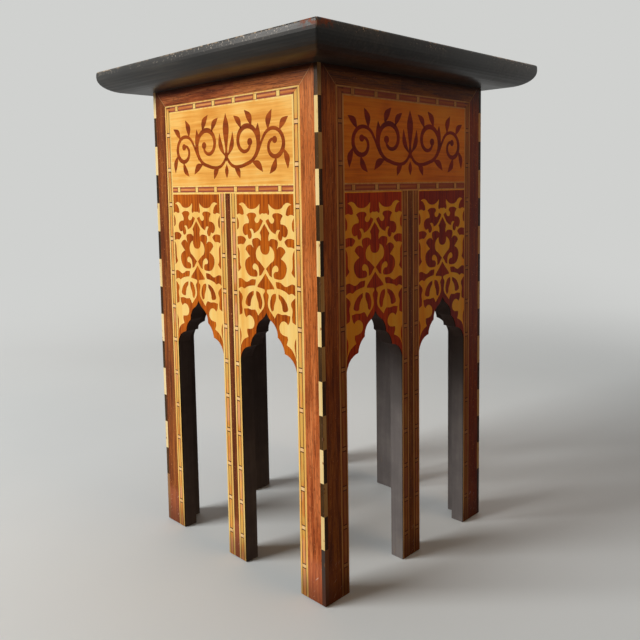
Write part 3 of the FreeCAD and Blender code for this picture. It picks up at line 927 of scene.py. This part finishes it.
# The vine's right half, in millimetres from the middle of the panel
FRIEZE_MIDDLE = (FRIEZE_BOTTOM + FIELD_TOP) / 2
MM = 0.001
inner_stem = [(1.5, -13.0), (6.0, -18.0), (12.0, -21.0), (20.0, -21.5)]
inner_stem += spiral((31.0, 2.0), 21.5, 6.0, math.radians(-103), 1.28)[1:]
outer_stem = [(46.0, -12.5), (50.0, -6.5), (53.5, 0.0)]
outer_stem += spiral((72.0, -3.0), 17.5, 5.0, math.radians(158), -1.22)
vine_half = [
    ribbon(inner_stem, 3.0, 5.2, 2.6),
    ribbon(outer_stem, 2.4, 4.8, 2.4),
    bead(inner_stem[-1], 3.6),
    bead(outer_stem[-1], 3.3),
    leaf((11.5, -20.0), (21.0, -33.0), 6.8, 2.0),
    leaf((39.0, -17.0), (55.5, -27.5), 7.6, 2.4),
    leaf((39.5, 16.0), (29.5, 32.5), 7.6, -2.4),
    leaf((24.0, 14.6), (12.5, 28.5), 6.8, -2.2),
    leaf((52.5, -1.5), (49.5, 19.0), 7.4, 2.2),
    leaf((63.8, 11.0), (69.5, 30.0), 7.6, 2.4),
    leaf((79.4, 9.6), (92.0, 22.0), 7.0, 2.2),
    leaf((84.2, -6.3), (90.5, -25.5), 7.0, 2.2),
    leaf((74.8, -13.6), (65.0, -29.5), 7.0, 2.2),
    leaf((1.2, -11.0), (10.5, 13.0), 6.4, -3.2),
]
vine_outlines = []
for outline in vine_half:
    for side in (-1, 1):
        vine_outlines.append([(side * a * MM, FRIEZE_MIDDLE + h * MM, corner) for a, h, corner in outline])
bud = [
    (0.0, 32.0, True), (4.6, 19.0, False), (3.2, 6.0, False), (1.6, -4.0, False), (2.6, -11.0, False),
    (0.0, -16.0, True), (-2.6, -11.0, False), (-1.6, -4.0, False), (-3.2, 6.0, False), (-4.6, 19.0, False),
]
drop = [(0.0, -18.5, True), (2.8, -25.0, False), (0.0, -32.5, True), (-2.8, -25.0, False)]
for outline in (bud, drop):
    vine_outlines.append([(a * MM, FRIEZE_MIDDLE + h * MM, corner) for a, h, corner in outline])
# Strokes that cross lie at slightly different heights.
LIFT_STEP = 0.00001
LIFTS = 7
vine_meshes = []
for index, outline in enumerate(vine_outlines):
    lift = RAISED + LIFT_STEP * (index % LIFTS)
    vine_meshes.append(outline_mesh("vine", [outline], FACE - SUNK, FACE + lift))
lay_round("frieze_vine", joined("frieze_vine", vine_meshes), "vine")


# Top board: a quarter round under its edge, with eased arrises and corners
MOULDING_RUN = 0.026
MOULDING_RISE = 0.0178
MOULDING_STEPS = 10
CORNER_EASE = 0.0018
# The upper arris, as steps in from the edge and down from the top
ARRIS = ((0.0, 0.0036), (0.0002, 0.0016), (0.0007, 0.0006), (0.0018, 0.0))
SHARP_ANGLE = math.radians(28)


def top_mesh():
    under = TOP_HALF - MOULDING_RUN
    made = bmesh.new()
    bmesh.ops.create_grid(made, x_segments=1, y_segments=1, size=under)
    bmesh.ops.bevel(
        made, geom=made.verts[:], offset=CORNER_EASE, segments=3, profile=0.5, affect="VERTICES", material=-1,
    )
    bmesh.ops.translate(made, verts=made.verts, vec=(0.0, 0.0, BASE_HEIGHT))
    rings = []
    for step in range(1, MOULDING_STEPS + 1):
        angle = math.radians(90.0 / MOULDING_STEPS * step)
        height = BASE_HEIGHT + MOULDING_RISE * (1.0 - math.cos(angle))
        rings.append((under + MOULDING_RUN * math.sin(angle), height))
    for back, down in ARRIS:
        rings.append((TOP_HALF - back, TABLE_HEIGHT - down))
    reach = under
    height = BASE_HEIGHT
    cap = made.faces[:]
    for next_reach, next_height in rings:
        run = bmesh.ops.extrude_face_region(made, geom=cap, use_keep_orig=height == BASE_HEIGHT)["geom"]
        cap = [item for item in run if isinstance(item, bmesh.types.BMFace)]
        moved = new_points(run)
        bmesh.ops.translate(made, verts=moved, vec=(0.0, 0.0, next_height - height))
        bmesh.ops.scale(made, verts=moved, vec=(next_reach / reach, next_reach / reach, 1.0))
        reach = next_reach
        height = next_height
    for face in made.faces:
        face.smooth = True
    mesh = mesh_from(made, "top_moulded")
    mesh.set_sharp_from_angle(angle=SHARP_ANGLE)
    mesh.materials.append(top_black)
    return mesh


top = add_object("top_moulded", top_mesh())
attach(top, "root")
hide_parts("top_board")


# Stage: pale floor sweeping up into a pale wall
PALE = srgb(208, 209, 207)
FLOOR = srgb(220, 227, 230)
BOUNCE = srgb(80, 48, 26)
STAGE_HALF = 7.0
# Distance behind the object and height, from the open front of the floor to the head of the wall
SWEEP = ((-5.0, 0.0), (0.9, 0.0), (1.2, 0.03), (1.42, 0.14), (1.55, 0.32), (1.6, 0.6), (1.62, 4.0))


def floor_finish(name):
    # Pale to look at, with the object's shadow; its bounce into the shade is warm.
    graph = Finish(name)
    mottle = graph.noise(graph.place, 3.0, 3.0, 0.5)
    stops = [(0.3, tuple(channel * 0.97 for channel in FLOOR)), (0.7, FLOOR)]
    tone = graph.node("ShaderNodeValToRGB", {"stops": stops}, {0: mottle})
    seen = graph.seen_rays()
    lit = graph.surface(graph.mix(seen, BOUNCE, tone), 0.7)
    reach = graph.math("SQRT", graph.x * graph.x + graph.y * graph.y)
    far = graph.rise(reach, 0.7, 1.7) * seen
    glow = graph.node("ShaderNodeEmission", None, {"Color": PALE})
    return graph.done(graph.node("ShaderNodeMixShader", None, {0: far, 1: lit, 2: glow}))


def sweep():
    made = bmesh.new()
    along = Vector((-1.0, 1.0, 0.0)).normalized()
    wide = Vector((1.0, 1.0, 0.0)).normalized()
    verts = []
    for reach, height in SWEEP:
        verts.append(made.verts.new(along * reach - wide * STAGE_HALF + Vector((0, 0, height))))
    edges = [made.edges.new(pair) for pair in zip(verts, verts[1:])]
    run = bmesh.ops.extrude_edge_only(made, edges=edges)["geom"]
    bmesh.ops.translate(made, verts=new_points(run), vec=wide * STAGE_HALF * 2.0)
    for face in made.faces:
        face.smooth = True
    mesh = mesh_from(made, "floor_sweep")
    mesh.materials.append(floor_finish("pale_floor"))
    floor = add_object("floor_sweep", mesh)


sweep()


# Lights
def area_light(name, place, aim, size, power, colour, spread=180.0):
    data = bpy.data.lights.new(name, "AREA")
    data.shape = "SQUARE"
    data.size = size
    data.energy = power
    data.spread = math.radians(spread)
    data.color = colour
    lamp = add_object(name, data)
    lamp.location = place
    lamp.rotation_euler = (Vector(aim) - Vector(place)).to_track_quat("-Z", "Y").to_euler()


area_light(
    "key", place=(-1.6, -3.0, 1.75), aim=(0.0, 0.0, 0.25), size=1.8, power=144.0, colour=(1.0, 0.97, 0.93),
)
area_light(
    "fill", place=(1.15, 0.2, 1.25), aim=(0.13, 0.02, 0.55), size=0.7, power=0.5, colour=(1.0, 0.62, 0.34),
    spread=60.0,
)
area_light(
    "over", place=(-0.4, 0.5, 3.2), aim=(-0.3, 0.6, 0.4), size=2.2, power=26.0, colour=(1.0, 0.99, 0.97),
)
world = bpy.data.worlds.new("studio")
world.use_nodes = True
air = Graph(world.node_tree)
sky = air.node("ShaderNodeBackground", None, {"Color": (1.0, 0.74, 0.50), "Strength": 0.05})
backdrop = air.node("ShaderNodeBackground", None, {"Color": PALE, "Strength": 1.0})
blend = air.node("ShaderNodeMixShader", None, {0: air.seen_rays(), 1: sky, 2: backdrop})
air.node("ShaderNodeOutputWorld", None, {"Surface": blend})
bpy.context.scene.world = world
bpy.context.scene.view_settings.view_transform = "Standard"

# Camera: the photograph's place, nearly level, with the view shifted down; picture, focal length and shift
# are in pixels
PICTURE = 640.0
FOCAL = 701.2
SHIFT = -68.0
SENSOR = 36.0
EYE = (0.5645, -0.5664, 0.3897)
YAW = math.radians(134.882)
PITCH = math.radians(-5.385)
ROLL = math.radians(-0.922)
camera = bpy.data.cameras.new("camera")
camera.sensor_width = SENSOR
camera.lens = FOCAL / PICTURE * SENSOR
camera.shift_y = SHIFT / PICTURE
camera.clip_start = 0.01
forward = Vector((math.cos(PITCH) * math.cos(YAW), math.cos(PITCH) * math.sin(YAW), math.sin(PITCH)))
level_right = Vector((math.sin(YAW), -math.cos(YAW), 0.0))
level_up = level_right.cross(forward)
right = level_right * math.cos(ROLL) + level_up * math.sin(ROLL)
up = right.cross(forward)
eye = add_object("camera", camera)
turned = Matrix((right, up, -forward)).transposed().to_4x4()
eye.matrix_world = Matrix.Translation(EYE) @ turned
bpy.context.scene.camera = eye
